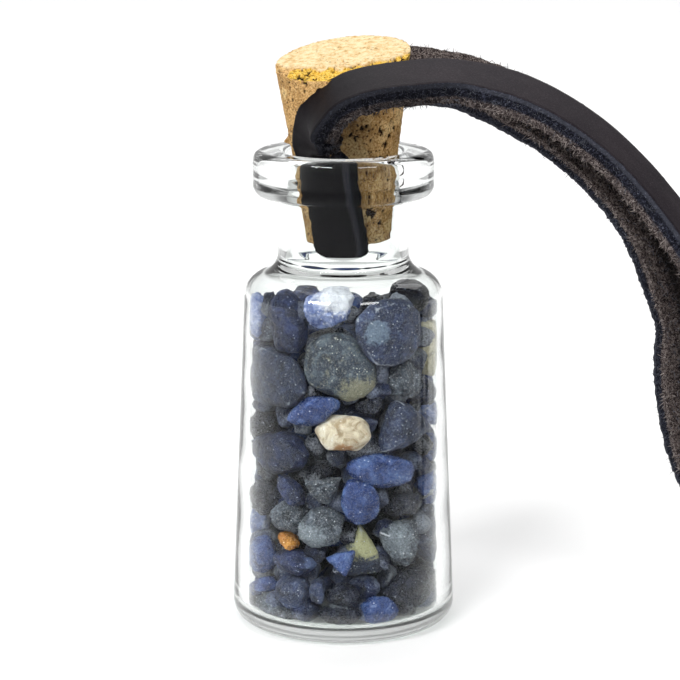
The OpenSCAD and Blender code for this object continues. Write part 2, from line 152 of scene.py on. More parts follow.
def colour(hex6):
    """Linear red, green and blue of a screen colour such as 3c4a63."""
    out = []
    for k in (0, 2, 4):
        c = int(hex6[k:k + 2], 16) / 255
        out.append(c / 12.92 if c < 0.04045 else ((c + 0.055) / 1.055) ** 2.4)
    return (*out, 1.0)


# Node trees

def add(tree, kind, inputs=None, **settings):
    """A new node with its settings and inputs, each a value or another node's socket."""
    made = tree.nodes.new(kind)
    for name, value in settings.items():
        setattr(made, name, value)
    for name, value in (inputs or {}).items():
        if isinstance(value, bpy.types.NodeSocket):
            tree.links.new(value, made.inputs[name])
        else:
            made.inputs[name].default_value = value
    return made


def place(tree):
    return add(tree, "ShaderNodeTexCoord").outputs["Object"]


def grain(tree, size, detail=4, rough=0.55, at=None, warp=0.0):
    """Noise whose features are about size across."""
    inputs = {"Scale": 1 / size, "Detail": detail, "Roughness": rough, "Distortion": warp,
              "Vector": at or place(tree)}
    return add(tree, "ShaderNodeTexNoise", inputs).outputs["Fac"]


def cells(tree, size, at, out="Distance"):
    """Cells about size across: how far a spot is from its cell's middle, or the cell's own random Color."""
    return add(tree, "ShaderNodeTexVoronoi", {"Scale": 1 / size, "Vector": at}).outputs[out]


def ramp(tree, fac, *stops):
    """Grey or coloured stops over a factor, as (position, value) pairs."""
    made = add(tree, "ShaderNodeValToRGB", {"Fac": fac})
    band = made.color_ramp
    while len(band.elements) < len(stops):
        band.elements.new(0.5)
    for element, (position, value) in zip(band.elements, stops):
        element.position = position
        element.color = value if isinstance(value, tuple) else (value, value, value, 1)
    return made.outputs["Color"]


def mix(tree, fac, a, b, how="MIX"):
    made = add(tree, "ShaderNodeMix", data_type="RGBA", blend_type=how)
    for index, value in ((0, fac), (6, a), (7, b)):
        if isinstance(value, bpy.types.NodeSocket):
            tree.links.new(value, made.inputs[index])
        else:
            made.inputs[index].default_value = value
    return made.outputs[2]


def math_node(tree, how, a, b=0.0, c=0.0):
    made = add(tree, "ShaderNodeMath", operation=how)
    for index, value in enumerate((a, b, c)):
        if isinstance(value, bpy.types.NodeSocket):
            tree.links.new(value, made.inputs[index])
        else:
            made.inputs[index].default_value = value
    return made.outputs[0]


def attribute(tree, name):
    return add(tree, "ShaderNodeAttribute", attribute_name=name).outputs["Fac"]


def bump(tree, height, distance, strength=1.0, normal=None):
    inputs = {"Height": height, "Distance": distance, "Strength": strength}
    if normal:
        inputs["Normal"] = normal
    return add(tree, "ShaderNodeBump", inputs).outputs["Normal"]


def new_material(name, **sockets):
    """A material with one Principled shader and these values on its own sockets."""
    made = bpy.data.materials.new(name)
    made.use_nodes = True
    shader = made.node_tree.nodes["Principled BSDF"]
    for socket, value in sockets.items():
        shader.inputs[socket.replace("_", " ")].default_value = value
    return made, made.node_tree, shader


def feed(tree, shader, **sockets):
    for socket, value in sockets.items():
        tree.links.new(value, shader.inputs[socket.replace("_", " ")])


# Meshes

def turned_faces(rings, around):
    """Faces between rings of points, closed at both ends by a point of its own after the last ring."""
    faces = [(m * around + k, m * around + (k + 1) % around, (m + 1) * around + (k + 1) % around,
              (m + 1) * around + k) for m in range(rings - 1) for k in range(around)]
    low, high, last = rings * around, rings * around + 1, (rings - 1) * around
    faces += [(low, (k + 1) % around, k) for k in range(around)]
    return faces + [(high, last + k, last + (k + 1) % around) for k in range(around)]


def new_piece(name, points, faces, material):
    mesh = bpy.data.meshes.new(name)
    mesh.from_pydata([tuple(p) for p in points], [], faces)
    mesh.validate()
    mesh.update()
    mesh.polygons.foreach_set("use_smooth", [True] * len(mesh.polygons))
    piece = bpy.data.objects.new(name, mesh)
    bpy.context.scene.collection.objects.link(piece)
    mesh.materials.append(material)
    return piece


def set_attribute(piece, name, values):
    made = piece.data.attributes.new(name, "FLOAT", "POINT")
    made.data.foreach_set("value", np.asarray(values, np.float32))


def dress(piece, slot, *nodes):
    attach(piece, "root")
    if nodes:
        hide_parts(*nodes)
    return piece


def smooth_step(x, low, high):
    t = np.clip((np.asarray(x, float) - low) / (high - low), 0, 1)
    return t * t * (3 - 2 * t)


def fractal(points, size, octaves=3, seed=0.0):
    """Noise about -1 to 1 at each point, its features about size across."""
    shift = Vector((seed * 3.1, seed * 1.7, seed * 2.3))
    return np.array([noise.fractal(Vector(p) / size + shift, 1.0, 2.0, octaves) for p in points])


def noise_vector(p):
    """Three noises about -1 to 1 at a point. The library's own one changes from run to run."""
    return Vector([noise.noise(p + Vector((shift, 0, 0))) for shift in (0, 31.4, 57.2)])


# Camera, light and floor

def add_camera():
    data = bpy.data.cameras.new("camera")
    data.lens = LENS_MM
    data.sensor_width = SENSOR_MM
    data.clip_start = 0.01
    data.clip_end = 20
    camera = bpy.data.objects.new("camera", data)
    camera.location = CAMERA_AT
    camera.rotation_euler = (math.pi / 2 - CAMERA_DOWN, 0, 0)
    bpy.context.scene.collection.objects.link(camera)
    bpy.context.scene.camera = camera


def add_world():
    """Soft daylight: bright behind and above, dim in front, so that the glass keeps its dark lines."""
    world = bpy.data.worlds.new("studio")
    bpy.context.scene.world = world
    world.use_nodes = True
    tree = world.node_tree
    back = tree.nodes["Background"]
    way = add(tree, "ShaderNodeTexCoord").outputs["Generated"]
    parts = add(tree, "ShaderNodeSeparateXYZ", {"Vector": way})
    depth = math_node(tree, "ADD", math_node(tree, "MULTIPLY", parts.outputs["Y"], 0.5), 0.5)
    side = math_node(tree, "ABSOLUTE", parts.outputs["X"])
    shade = mix(tree, 1.0, ramp(tree, depth, (0.0, 0.30), (0.45, 0.45), (0.70, 1.0)),
                ramp(tree, side, (0.50, 1.0), (0.80, 0.45), (0.95, 0.25)), "MULTIPLY")
    tree.links.new(shade, back.inputs["Color"])
    back.inputs["Strength"].default_value = 0.62


def add_lamp(name, at, size, power, target=(0, 0, 0.02)):
    """A softbox at a place in metres. What shines through glass reaches things by shadow rays alone."""
    data = bpy.data.lights.new(name, "AREA")
    data.shape = "RECTANGLE"
    data.size, data.size_y = size
    data.energy = power
    lamp = bpy.data.objects.new(name, data)
    lamp.location = at
    lamp.rotation_euler = (Vector(target) - Vector(at)).to_track_quat("-Z", "Y").to_euler()
    lamp.visible_transmission = False
    bpy.context.scene.collection.objects.link(lamp)


def around_bottle(azimuth, height, distance):
    """A place in metres, its azimuth in degrees from the front to the right, its height an angle."""
    a, h = math.radians(azimuth), math.radians(height)
    flat = distance * math.cos(h)
    return flat * math.sin(a), -flat * math.cos(a), distance * math.sin(h)


def add_lamps():
    add_lamp("overhead", (0.0, 0.20, 0.95), (0.9, 0.9), 4.8)
    add_lamp("softbox_left", around_bottle(-32, 40, 1.0), (0.40, 0.20), 6.6)
    add_lamp("softbox_right", around_bottle(34, 38, 1.0), (0.36, 0.16), 2.4)
    add_lamp("backdrop", (0.0, 0.75, 0.8), (1.6, 0.5), 3.2, (0.0, 0.75, 0.0))


def add_floor():
    half = 3.0
    drop = -0.02 * MM
    material, tree, shader = new_material("floor", Roughness=0.9)
    shader.inputs["Specular IOR Level"].default_value = 0.1
    feed(tree, shader, Base_Color=ramp(tree, grain(tree, 0.05), (0.0, 0.90), (1.0, 0.92)))
    corners = [(-half, -half, drop), (half, -half, drop), (half, half, drop), (-half, half, drop)]
    floor = new_piece("floor", corners, [(0, 1, 2, 3)], material)


# Bottle

def arc(x, z, r, a, b, steps=14):
    return [(x + r * math.cos(math.radians(a + (b - a) * k / steps)),
             z + r * math.sin(math.radians(a + (b - a) * k / steps))) for k in range(steps + 1)]


def shoulder(side_r, tube_r, r):
    end = math.radians(SHOULDER_END)
    out_x = side_r - r
    end_x = out_x + r * math.cos(end)
    end_z = SIDE_H + r * math.sin(end)
    in_r = (end_x - tube_r) / (1 - math.cos(end))
    return arc(out_x, SIDE_H, r, 0, SHOULDER_END) + arc(
        end_x + in_r * math.cos(end), end_z + in_r * math.sin(end), in_r, 180 + SHOULDER_END, 180)


def fine_line(points, step):
    """The same outline with its long straight stretches cut into steps."""
    out = [points[0]]
    for a, b in zip(points, points[1:]):
        length = math.dist(a, b)
        if length < 1e-7:
            continue
        count = max(1, math.ceil(length / step))
        out += [(a[0] + (b[0] - a[0]) * k / count, a[1] + (b[1] - a[1]) * k / count)
                for k in range(1, count + 1)]
    return out


def glass_material(name, gloss, clear=1.0):
    """Clear glass that lets the lamps reach what is behind it; gloss is its share of plain reflection."""
    material, tree, shader = new_material(
        name, Base_Color=(0.965, 0.985, 0.975, 1), Roughness=0.0, IOR=1.5, Transmission_Weight=clear,
        Specular_Tint=(gloss, gloss, gloss, 1))
    path = add(tree, "ShaderNodeLightPath")
    lit_through = add(tree, "ShaderNodeBsdfTransparent", {"Color": (0.60, 0.62, 0.61, 1)})
    both = add(tree, "ShaderNodeMixShader")
    tree.links.new(path.outputs["Is Shadow Ray"], both.inputs[0])
    tree.links.new(shader.outputs[0], both.inputs[1])
    tree.links.new(lit_through.outputs[0], both.inputs[2])
    tree.links.new(both.outputs[0], tree.nodes["Material Output"].inputs["Surface"])
    return material


# Ring of thicker glass inside the foot of the neck, and the faint waves round the lip
NECK_RING = 0.36 * MM
NECK_RING_Z = 30.6 * MM
NECK_RING_H = 0.35 * MM
LIP_WAVE = 0.02 * MM
LIP_WAVE_STEP = 0.14 * MM
# How much thicker or thinner the wall is from place to place
WALL_WAVE = 0.05 * MM
# Below these heights the foot's glass keeps its full reflection, and outside it is partly milky: painted
# light that stands in for the light real glass carries into its foot
FULL_REFLECTION_FOOT = 2.4 * MM
PAINTED_LIGHT_FOOT = 1.5 * MM


def add_bottle():
    lip_low = BOTTLE_H - LIP_H
    under_lip = 0.08 * LIP_H
    inner_heel = 0.5 * HEEL_R
    foot_r = BODY_R - WALL_FOOT
    outside = [(0, 0)] + arc(BODY_R - HEEL_R, HEEL_R, HEEL_R, -90, 0) + shoulder(TOP_R, NECK_R, SHOULDER_R)
    outside += [(NECK_R, lip_low - under_lip), (NECK_R + under_lip, lip_low)]
    outside += arc(LIP_R - LIP_ROUND, lip_low + LIP_ROUND, LIP_ROUND, -90, 0)
    outside += arc(LIP_R - LIP_ROUND, BOTTLE_H - LIP_ROUND, LIP_ROUND, 0, 90)
    mouth = arc(BORE_R + MOUTH_ROUND, BOTTLE_H - MOUTH_ROUND, MOUTH_ROUND, 90, 180)
    inside = [(0, BOTTOM_T)] + arc(foot_r - inner_heel, BOTTOM_T + inner_heel, inner_heel, -90, 0)
    inside += shoulder(TOP_R - WALL_TOP, BORE_R, SHOULDER_R - WALL_TOP / 2)
    outer = fine_line(outside + mouth, 0.2 * MM)
    inner = fine_line(inside[::-1], 0.25 * MM)
    line = outer + inner
    around = 128
    points = []
    first_inner = len(outer)
    for n, (r, z) in enumerate(line[1:-1], start=1):
        shift = 0
        if n >= first_inner:
            shift = -NECK_RING * math.exp(-((z - NECK_RING_Z) / NECK_RING_H) ** 2)
        elif z > lip_low + 0.3 * MM and r > LIP_R - 0.3 * MM:
            shift = LIP_WAVE * math.sin(z / LIP_WAVE_STEP)
        for k in range(around):
            a = 2 * math.pi * k / around
            p = Vector(((r + shift) * math.cos(a), (r + shift) * math.sin(a), z))
            if n >= first_inner and r > 1 * MM:
                p *= 1 - WALL_WAVE / r * (0.5 + 0.5 * noise.noise(p / (3.5 * MM)))
                p.z = max(p.z, z - WALL_WAVE)
            points.append(p)
    points += [Vector((0, 0, line[0][1])), Vector((0, 0, line[-1][1]))]
    faces = turned_faces(len(line) - 2, around)
    # Painted reflection: the body's glass reflects a tenth as much as real glass, which keeps reflected haze
    # off it, while the shoulder, the lip's top and the foot reflect in full so that highlights show there.
    # The outside of the very foot is partly milky white, painted light standing in for the light that real
    # glass carries into it.
    piece = new_piece("glass_bottle", points, faces, glass_material("glass", 0.10))
    piece.data.materials.append(glass_material("glass_full_reflection", 1.0))
    piece.data.materials.append(glass_material("glass_foot_painted_light", 1.0, 0.70))
    for face in piece.data.polygons:
        z = face.center.z
        on_shoulder = SIDE_H + 0.2 * MM < z < SIDE_H + 2.2 * MM
        outer_face = face.index < first_inner * around
        if outer_face and z < PAINTED_LIGHT_FOOT:
            face.material_index = 2
        elif z < FULL_REFLECTION_FOOT or outer_face and (on_shoulder or z > BOTTLE_H - LIP_ROUND):
            face.material_index = 1
    return dress(piece, "glass", "bottle")


# Stones

# The stones' colours and surfaces
KINDS = {
    # kind: dark, middle and light of the body, patch, specks, share of specks, roughness, dark pepper
    "pale": ("45558a", "7e8ec0", "cfd6ea", "f6f7fc", "ffffff", 0.35, 0.62, 0.4),
    "slate": ("161a2c", "2b3454", "4a5880", "75879d", "d3dae4", 0.50, 0.44, 0.5),
    "dark": ("0a0b13", "171a29", "2f3345", "484b5c", "b4b8c6", 0.35, 0.30, 0.4),
    "jet": ("05060b", "0c0e18", "1b2031", "484b5c", "8a90a2", 0.05, 0.18, 0.2),
    "cream": ("a89070", "e4d6bd", "fbf6ec", "b07c48", "ffffff", 0.20, 0.45, 0.1),
    "olive": ("1c202c", "3a4454", "66727e", "96937c", "dadbd0", 0.50, 0.46, 0.5),
    "blue": ("242f58", "3a4c82", "6078ae", "92a6d6", "dce3f6", 0.15, 0.24, 0.1),
    "navy": ("0d1122", "1c2548", "344274", "5d6d96", "b8c2dc", 0.40, 0.36, 0.4),
    "navy_olive": ("0f1422", "232b42", "465368", "b4b285", "c8cdd8", 0.45, 0.38, 0.4),
    "cream_olive": ("7d7660", "c6be9e", "ece6cf", "8a7f5c", "f8f5e6", 0.20, 0.50, 0.2),
    "ochre": ("6e3c10", "b8741e", "dea04a", "f0c070", "fff0c8", 0.30, 0.55, 0.5),
    "grey": ("1b1f27", "3f4652", "6e7785", "8b949e", "dde0e6", 0.60, 0.58, 0.6),
}


# How far apart the light specks on stone are
SPECK_APART = 0.22 * MM


def stone_material(kind):
    dark, middle, light, patch, speck, speckled, rough, pepper = KINDS[kind]
    material, tree, shader = new_material("stone_" + kind)
    at = place(tree)
    mottle = grain(tree, 1.2 * MM, 6, 0.66, at, 0.8)
    dust = grain(tree, 0.5 * MM, 6, 0.72, at, 0.6)
    fine = grain(tree, 0.17 * MM, 5, 0.75, at)
    body = ramp(tree, mottle, (0.34, colour(dark)), (0.50, colour(middle)), (0.68, colour(light)))
    ragged = math_node(tree, "MULTIPLY_ADD", dust, 2.6, -1.3)
    spread = math_node(tree, "ADD", attribute(tree, "patch"), ragged)
    body = mix(tree, ramp(tree, spread, (0.20, 0.0), (0.62, 0.85)), body, colour(patch))
    body = mix(tree, ramp(tree, fine, (0.34, pepper), (0.49, 0.0)), body, colour(dark))
    frost = math_node(tree, "MULTIPLY_ADD", fine, 1.0 + 0.5 * pepper, attribute(tree, "worn"))
    body = mix(tree, ramp(tree, frost, (0.66, 0.0), (1.1, 0.6)), body, colour(speck))
    dots = cells(tree, SPECK_APART, at)
    chance = cells(tree, SPECK_APART, at, "Color")
    picked = ramp(tree, chance, (0.82 - 0.2 * speckled, 0.0), (0.86 - 0.2 * speckled, 1.0))
    dot = math_node(tree, "MULTIPLY", ramp(tree, dots, (0.14, 1.0), (0.30, 0.0)), picked)
    body = mix(tree, dot, body, colour(speck))
    # The tone sets each stone's own brightness, and for chips deep in the heap it also carries painted shade
    tone_and_shade = math_node(tree, "MULTIPLY_ADD", attribute(tree, "tone"), 1.1, 0.58)
    body = mix(tree, 1.0, body, mix(tree, tone_and_shade, (0, 0, 0, 1), (1, 1, 1, 1)), "MULTIPLY")
    gloss = ramp(tree, fine, (0.3, rough - 0.16), (0.7, rough + 0.16))
    normal = bump(tree, fine, 0.08 * MM, 0.9)
    normal = bump(tree, dust, 0.20 * MM, 0.7, normal)
    feed(tree, shader, Base_Color=body, Roughness=gloss, Normal=normal)
    return material


STONES = {kind: stone_material(kind) for kind in KINDS}


def refined(mesh_points, mesh_faces, levels, rounds):
    """Points and faces of a faceted chip, cut finer and with its edges worn round, and how worn they are."""
    bm = bmesh.new()
    made = [bm.verts.new(p) for p in mesh_points]
    for f in mesh_faces:
        bm.faces.new([made[k] for k in f])
    for _ in range(levels):
        bmesh.ops.subdivide_edges(bm, edges=bm.edges[:], cuts=1, use_grid_fill=True)
    bmesh.ops.triangulate(bm, faces=bm.faces[:])
    bm.verts.ensure_lookup_table()
    bm.verts.index_update()
    sharp = np.array([v.co for v in bm.verts])
    pairs = np.array([(e.verts[0].index, e.verts[1].index) for e in bm.edges])
    faces = [tuple(v.index for v in f.verts) for f in bm.faces]
    bm.free()
    points = sharp
    count = np.bincount(pairs.ravel(), minlength=len(points))[:, None]
    for _ in range(rounds):
        total = np.zeros_like(points)
        np.add.at(total, pairs[:, 0], points[pairs[:, 1]])
        np.add.at(total, pairs[:, 1], points[pairs[:, 0]])
        points = points + 0.5 * (total / count - points)
    worn = np.linalg.norm(points - sharp, axis=1)
    far = math.sqrt(rounds / 4) * MM
    return points, faces, smooth_step(worn, 0.06 * far, 0.17 * far)


def loose_solids(node):
    """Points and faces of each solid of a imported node, its split corners merged."""
    bm = bmesh.new()
    bm.from_mesh(NODES[node].data)
    bmesh.ops.remove_doubles(bm, verts=bm.verts[:], dist=1e-6)
    bm.verts.ensure_lookup_table()
    bm.verts.index_update()
    seen = set()
    solids = []
    for start in bm.verts:
        if start.index in seen:
            continue
        group, queue = [], [start]
        seen.add(start.index)
        while queue:
            v = queue.pop()
            group.append(v)
            for e in v.link_edges:
                other = e.other_vert(v)
                if other.index not in seen:
                    seen.add(other.index)
                    queue.append(other)
        group.sort(key=lambda v: v.index)
        number = {v.index: k for k, v in enumerate(group)}
        faces = {f for v in group for f in v.link_faces}
        rows = sorted(tuple(number[v.index] for v in f.verts) for f in faces)
        solids.append((np.array([v.co for v in group]), rows))
    bm.free()
    return solids


def inside_r(z):
    """Radius of the glass's straight inside at height z."""
    low = BOTTOM_T + 0.5 * HEEL_R
    share = np.clip((z - low) / (SIDE_H - low), 0, 1)
    return BODY_R - WALL_FOOT + (TOP_R - WALL_TOP - BODY_R + WALL_FOOT) * share


def chipped(points, seed, rough, grow=0.12 * MM):
    """Grows a stone by its gap, then presses dents and a grain into it, and keeps it inside the glass."""
    middle = points.mean(0)
    away = points - middle
    away /= np.linalg.norm(away, axis=1)[:, None]
    big = fractal(points, 1.6 * MM, 2, seed)
    small = np.abs(fractal(points, 0.6 * MM, 3, seed + 9))
    tiny = fractal(points, 0.20 * MM, 3, seed + 17)
    depth = 0.14 * np.clip(big + 0.1, 0, 1) + rough * (0.20 * small + 0.07 * (tiny + 0.4))
    points = points + away * (grow - depth[:, None] * MM)
    r = np.hypot(points[:, 0], points[:, 1])
    room = inside_r(points[:, 2]) - 0.04 * MM
    points[:, :2] *= np.where(r > room, room / r, 1)[:, None]
    points[:, 2] = np.maximum(points[:, 2], BOTTOM_T + 0.03 * MM)
    return points


# How deep the dents and grain of each kind are
ROUGHNESS_OF_FORM = {"pale": 1.0, "slate": 0.5, "dark": 0.7, "cream": 0.15, "olive": 0.5, "blue": 0.45,
                     "navy": 0.6, "ochre": 1.0, "grey": 1.1}

# Patches on single stones, placed and sized as shares of the stone's half width and height
PATCHES = {
    # node: (across, up, reach)
    "stone_01": (0.35, 0.6, 0.72),
    "stone_02": (-0.35, 0.15, 0.36),
    "stone_05": (0.55, -0.90, 0.62),
    "stone_07": (0.0, -0.8, 0.4),
    "stone_25": (-0.6, -0.5, 0.8),
    "stone_29": (0.9, 0.0, 0.5),
    "stone_31": (0.25, 0.5, 0.7),
    "stone_32": (-0.1, 0.3, 0.8),
}
# Single stones that look different from the rest of their slot
LOOKS = {"stone_31": "navy_olive", "stone_04": "cream_olive", "stone_03": "jet"}
# Rounds of smoothing that wear each kind round
TUMBLED = {"jet": 18, "cream": 12, "navy_olive": 10, "olive": 9, "slate": 9, "blue": 10, "navy": 8}
# How bright single stones are
TONES = {
    "stone_02": 0.5, "stone_03": 0.3, "stone_05": 0.6, "stone_19": 0.75, "stone_27": 0.85, "stone_30": 1.0,
    "stone_20": 0.7, "stone_18": 0.5, "stone_21": 0.5, "stone_07": 0.75, "stone_04": 0.45, "stone_06": 0.42,
    "stone_10": 0.0, "stone_12": 0.1, "stone_09": 0.2, "stone_32": 0.7, "stone_01": 0.6, "stone_08": 0.35,
    "stone_34": 0.5, "stone_38": 0.6, "stone_35": 0.5, "stone_13": 0.25, "stone_25": 0.5, "stone_33": 0.15,
    "stone_11": 0.2, "stone_16": 0.2, "stone_28": 0.25, "stone_36": 0.5, "stone_37": 0.5,
}


def patch_of(name, points):
    if name not in PATCHES:
        return np.zeros(len(points))
    across, up, reach = PATCHES[name]
    low, high = points.min(0), points.max(0)
    middle, half = (low + high) / 2, (high - low) / 2
    x = (points[:, 0] - middle[0]) / half[0] - across
    z = (points[:, 2] - middle[2]) / half[2] - up
    return 1 - smooth_step(np.hypot(x, z), 0.3 * reach, 1.5 * reach)


def add_main_stones():
    rng = random.Random(7)
    for number, name in enumerate(sorted(n for n in NODES if n[:6] == "stone_" and n[6:].isdigit())):
        kind = SLOTS[name][len("stone_"):]
        tone = TONES.get(name, 0.35 + 0.3 * rng.random())
        (points, faces), = loose_solids(name)
        look = LOOKS.get(name, kind)
        points, faces, worn = refined(points, faces, 3, TUMBLED.get(look, 5))
        patch = patch_of(name, points)
        points = chipped(points, number * 1.37, ROUGHNESS_OF_FORM[kind])
        piece = new_piece("chip_" + name[6:], points, faces, STONES[look])
        set_attribute(piece, "patch", patch)
        set_attribute(piece, "worn", worn)
        set_attribute(piece, "tone", np.full(len(points), tone))
        dress(piece, SLOTS[name], name)


# Kinds of the chips behind and of the rubble, and how common each is
FILL_KINDS = ["slate", "dark", "navy", "grey", "blue"]
FILL_SHARES = [24, 22, 30, 12, 9]
RUBBLE_SHARES = [26, 34, 32, 6, 2]


class Heap:
    """Many chips gathered into one piece, each with its kind of stone."""

    def __init__(self):
        self.points, self.faces, self.kinds, self.tones, self.worn = [], [], [], [], []

    def add(self, points, faces, worn, kind, tone):
        first = len(self.points)
        self.points += list(points)
        self.faces += [tuple(first + k for k in row) for row in faces]
        self.kinds += [kind] * len(faces)
        self.tones += [tone] * len(points)
        self.worn += list(worn)

    def piece(self, name):
        made = new_piece(name, self.points, self.faces, STONES[FILL_KINDS[0]])
        for kind in FILL_KINDS[1:]:
            made.data.materials.append(STONES[kind])
        made.data.polygons.foreach_set("material_index", self.kinds)
        set_attribute(made, "tone", self.tones)
        set_attribute(made, "worn", self.worn)
        set_attribute(made, "patch", np.zeros(len(self.points)))
        return made


def add_filling():
    rng = random.Random(11)
    heap = Heap()
    for number, (p, f) in enumerate(loose_solids("stone_fill")):
        outer = np.hypot(p[:, 0], p[:, 1]).max() > 7 * MM
        fine = outer and p[:, 1].mean() < 1 * MM
        p, f, worn = refined(p, f, 3 if fine else 2 if outer else 1, 4 if fine else 2 if outer else 1)
        kind = rng.choices(range(len(FILL_KINDS)), FILL_SHARES)[0]
        p = chipped(p, 70 + number * 1.9, ROUGHNESS_OF_FORM[FILL_KINDS[kind]])
        tone = 0.1 + 0.4 * rng.random()
        # Chips deeper in the heap get a lower tone: painted shade between the stones
        heap.add(p, f, worn * (0.5 if fine else 0.0), kind, tone if outer else 0.5 * tone - 0.1)
    dress(heap.piece("chips_behind"), SLOTS["stone_fill"], "stone_fill")


def small_chip(rng, at, size):
    """An angular pebble: a ball cut by a few flat sides."""
    bm = bmesh.new()
    bmesh.ops.create_icosphere(bm, subdivisions=3, radius=1)
    ball = np.array([v.co for v in bm.verts])
    faces = [tuple(v.index for v in f.verts) for f in bm.faces]
    bm.free()
    reach = np.ones(len(ball))
    for _ in range(9):
        n = np.array([rng.gauss(0, 1) for _ in range(3)])
        n /= np.linalg.norm(n)
        facing = ball @ n
        cut = rng.uniform(0.62, 0.85)
        reach = np.where(facing > 0.05, np.minimum(reach, cut / np.maximum(facing, 0.05)), reach)
    stretch = np.array([rng.uniform(0.75, 1.25) for _ in range(3)])
    worn = 0.25 * smooth_step(reach, 0.8, 1.0)
    return ball * reach[:, None] * stretch * size / 2 + np.array(at), faces, worn


RUBBLE_AROUND = 15
RUBBLE_LAYERS = 12
RUBBLE_STEP = 2.28 * MM
# How much lower the back half of the top layer lies
RUBBLE_BACK_LOW = 1.5 * MM


def add_rubble():
    """Small chips and crumbs that fill the gaps between the larger ones."""
    rng = random.Random(5)
    heap = Heap()
    for layer in range(RUBBLE_LAYERS):
        for k in range(RUBBLE_AROUND):
            turn = math.radians(360 * (k + 0.5 * (layer % 2) + rng.uniform(-0.25, 0.25)) / RUBBLE_AROUND)
            size = rng.uniform(2.0, 3.0) * MM
            z = BOTTOM_T + 1.0 * MM + layer * RUBBLE_STEP + rng.uniform(-0.5, 0.5) * MM
            if layer == RUBBLE_LAYERS - 1 and RUBBLE_AROUND / 4 < k < 3 * RUBBLE_AROUND / 4:
                z -= RUBBLE_BACK_LOW
            low = layer == 0
            side = abs(math.sin(turn)) > 0.86
            r = inside_r(z) - size * (0.50 if low or side else 0.86 + 0.2 * rng.random())
            at = (r * math.sin(turn), -r * math.cos(turn), z)
            points, faces, worn = small_chip(rng, at, size)
            kind = rng.choices(range(len(FILL_KINDS)), RUBBLE_SHARES)[0]
            points = chipped(points, 300 + layer * 20 + k, 0.8, 0)
            heap.add(points, faces, worn, kind, -0.15 + 0.4 * rng.random())
    dress(heap.piece("rubble"), SLOTS["stone_fill"])


# Cork

# How far apart its small dark pores are
PORE_APART = 0.30 * MM


def cork_material():
    material, tree, shader = new_material("cork")
    at = place(tree)
    tan = ramp(tree, attribute(tree, "grain_tone"), (0.0, colour("b58c52")), (0.5, colour("d9ae70")),
               (1.0, colour("f0d094")))
    fine = grain(tree, 0.17 * MM, 5, 0.78, at)
    tan = mix(tree, ramp(tree, fine, (0.38, 0.9), (0.52, 0.0)), tan, colour("744b26"))
    tan = mix(tree, ramp(tree, fine, (0.54, 0.0), (0.68, 0.8)), tan, colour("ecd4a6"))
    stained = ramp(tree, fine, (0.36, colour("8a5c14")), (0.47, colour("dfae3c")), (0.58, colour("f6d468")),
                   (0.68, colour("fbe9b0")))
    tan = mix(tree, ramp(tree, attribute(tree, "stain"), (0.25, 0.0), (0.6, 1.0)), tan, stained)
    coarse = grain(tree, 0.5 * MM, 5, 0.7, at)
    cut = ramp(tree, coarse, (0.34, colour("c39a5e")), (0.46, colour("e2c492")), (0.60, colour("eed9b0")))
    tan = mix(tree, ramp(tree, attribute(tree, "top"), (0.3, 0.0), (0.9, 1.0)), tan, cut)
    dots = cells(tree, PORE_APART, at)
    chance = cells(tree, PORE_APART, at, "Color")
    where = ramp(tree, grain(tree, 1.5 * MM, 3, 0.6, at), (0.40, 0.15), (0.60, 1.0))
    dot = math_node(tree, "MULTIPLY", ramp(tree, dots, (0.20, 1.0), (0.42, 0.0)),
                    ramp(tree, chance, (0.50, 0.0), (0.58, 1.0)))
    pale_top = math_node(tree, "MULTIPLY_ADD", attribute(tree, "top"), -0.5, 1.0)
    dot = math_node(tree, "MULTIPLY", math_node(tree, "MULTIPLY", dot, where), pale_top)
    tan = mix(tree, dot, tan, colour("39210f"))
    tan = mix(tree, ramp(tree, attribute(tree, "pit"), (0.15, 0.0), (0.7, 1.0)), tan, colour("251408"))
    # Painted shade from the shade attribute: the cork is darker inside the neck and in the strap's shadow
    shade = math_node(tree, "MULTIPLY_ADD", attribute(tree, "shade"), -0.75, 1.0)
    tan = mix(tree, 1.0, tan, mix(tree, shade, (0, 0, 0, 1), (1, 1, 1, 1)), "MULTIPLY")
    normal = bump(tree, fine, 0.08 * MM, 0.9)
    shader.inputs["Specular IOR Level"].default_value = 0.25
    feed(tree, shader, Base_Color=tan, Normal=normal,
         Roughness=ramp(tree, fine, (0.3, 0.95), (0.7, 0.82)))
    return material


def cork_side(h, a):
    """Point of the cork's side, h along it from the mouth and at angle a."""
    r = CORK_MOUTH_R + (CORK_MOUTH_R - CORK_END_R) / CORK_IN * h if h < 0 else (
        CORK_MOUTH_R + (CORK_TOP_R - CORK_MOUTH_R) / CORK_OUT * h)
    return leaned(r * math.cos(a), r * math.sin(a), h)


def leaned(x, y, h):
    c, s = math.cos(CORK_LEAN), math.sin(CORK_LEAN)
    return Vector((CORK_OFF + c * x - s * h, y, BOTTLE_H + s * x + c * h))


def over_cut(p):
    """How far a point is above the cork's sloping cut top."""
    rise = math.tan(CORK_SLOPE) * p.x + math.tan(CORK_FALL) / math.cos(CORK_SLOPE) * p.y
    return p.z - (BOTTLE_H + CORK_OUT + rise)


